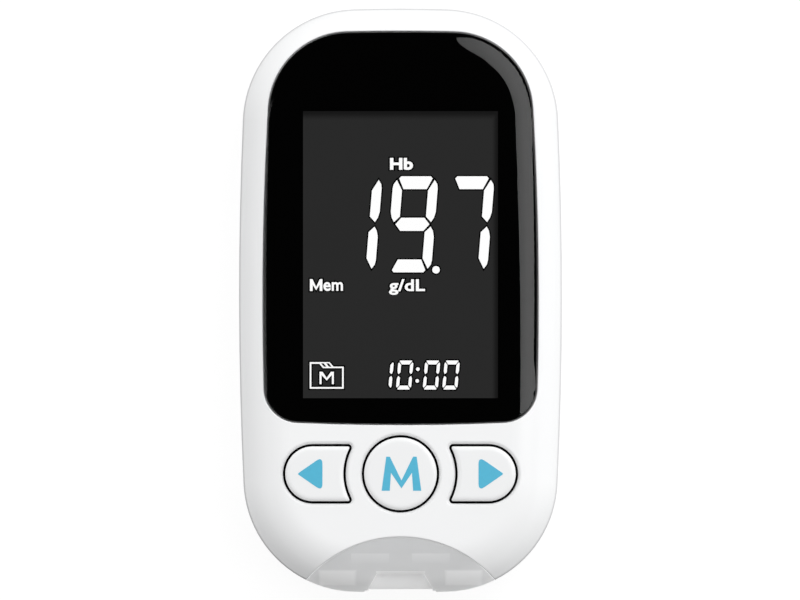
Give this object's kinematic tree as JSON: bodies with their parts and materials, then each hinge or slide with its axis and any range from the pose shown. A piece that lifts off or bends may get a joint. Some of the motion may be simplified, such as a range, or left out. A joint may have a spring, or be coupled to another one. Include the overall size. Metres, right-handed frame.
{
  "type": "blood glucose meter",
  "caption": "Handheld strip-reading blood test meter with a wide black display lens, key row, strip port, internal board and display stack, and a hinged battery door.",
  "frame": {"origin": "middle of the case's footprint, on the plane it rests on when it lies on its back", "axes": "+Z out of the display, +Y towards the top end of the case, +X to the right as the display is read; the strip port is at the -Y end"},
  "size_m": [0.0542, 0.0981, 0.0214],
  "materials": {
    "case_white": "glossy white ABS, moulded",
    "key_white": "glossy white ABS key caps",
    "lens_acrylic": "clear hard-coated acrylic",
    "mask_black": "black print on a thin film",
    "tape_dark": "double-sided foam tape",
    "gasket_foam": "black closed-cell foam",
    "polariser_dark": "neutral grey polarising film",
    "display_glass": "soda-lime display glass",
    "guide_clear": "clear moulded light guide",
    "reflector_white": "white reflector film",
    "frame_white": "off-white moulded polycarbonate",
    "led_white": "white moulded LED body with yellow phosphor window",
    "connector_rubber": "layered conductive silicone",
    "mat_silicone": "translucent grey silicone rubber",
    "pill_carbon": "carbon-filled silicone",
    "board_green": "green solder mask with gold pads",
    "port_translucent": "smoky translucent polycarbonate",
    "connector_black": "black moulded connector body",
    "contact_gold": "gold-plated phosphor bronze",
    "chip_black": "black epoxy package",
    "lead_tin": "tin-plated leads",
    "crystal_can": "drawn metal can",
    "capacitor_tan": "tan ceramic with plated ends",
    "spring_nickel": "nickel-plated spring steel",
    "cell_sleeve": "plain shrink sleeve, plated steel ends",
    "pad_foam": "soft black foam",
    "screw_steel": "zinc-plated steel"
  },
  "bodies": {
    "case": {"front_cover": "case_white", "rear_cover": "case_white", "display_lens": "lens_acrylic", "lens_mask": "mask_black", "lens_tape": "tape_dark", "lcd_gasket": "gasket_foam", "lcd_front_polariser": "polariser_dark", "lcd_front_glass": "display_glass", "lcd_rear_glass": "display_glass", "lcd_rear_polariser": "polariser_dark", "backlight_guide": "guide_clear", "backlight_reflector": "reflector_white", "backlight_leds": "led_white", "lcd_frame": "frame_white", "zebra_strip": "connector_rubber", "keypad_mat": "mat_silicone", "main_board": "board_green", "strip_port": "port_translucent", "strip_connector": "connector_black", "strip_contacts": "contact_gold", "port_leds": "led_white", "processor_chip": "chip_black", "amplifier_chip": "chip_black", "chip_leads": "lead_tin", "crystal": "crystal_can", "buzzer": "chip_black", "board_capacitors": "capacitor_tan", "battery_left": "cell_sleeve", "battery_right": "cell_sleeve", "battery_bridge_contact": "spring_nickel", "battery_positive_contact": "spring_nickel", "battery_negative_contact": "spring_nickel", "housing_screws": "screw_steel", "board_screws": "screw_steel"},
    "left_key": {"left_button": "key_white", "left_contact_pill": "pill_carbon"},
    "memory_key": {"memory_button": "key_white", "memory_contact_pill": "pill_carbon"},
    "right_key": {"right_button": "key_white", "right_contact_pill": "pill_carbon"},
    "door": {"battery_door": "case_white", "battery_door_pad": "pad_foam"}
  },
  "joints": [
    {"name": "left_key_press", "type": "slide", "parent": "case", "child": "left_key", "axis": [0, 0, -1], "range_m": [0, 0.0008], "stiffness_N_per_m": 900, "deforming": ["keypad_mat"]},
    {"name": "memory_key_press", "type": "slide", "parent": "case", "child": "memory_key", "axis": [0, 0, -1], "range_m": [0, 0.0008], "stiffness_N_per_m": 900, "deforming": ["keypad_mat"]},
    {"name": "right_key_press", "type": "slide", "parent": "case", "child": "right_key", "axis": [0, 0, -1], "range_m": [0, 0.0008], "stiffness_N_per_m": 900, "deforming": ["keypad_mat"]},
    {"name": "battery_door_hinge", "type": "hinge", "parent": "case", "child": "door", "pos_m": [0, -0.02315, 0], "axis": [-1, 0, 0], "range_deg": [0, 60]}
  ]
}
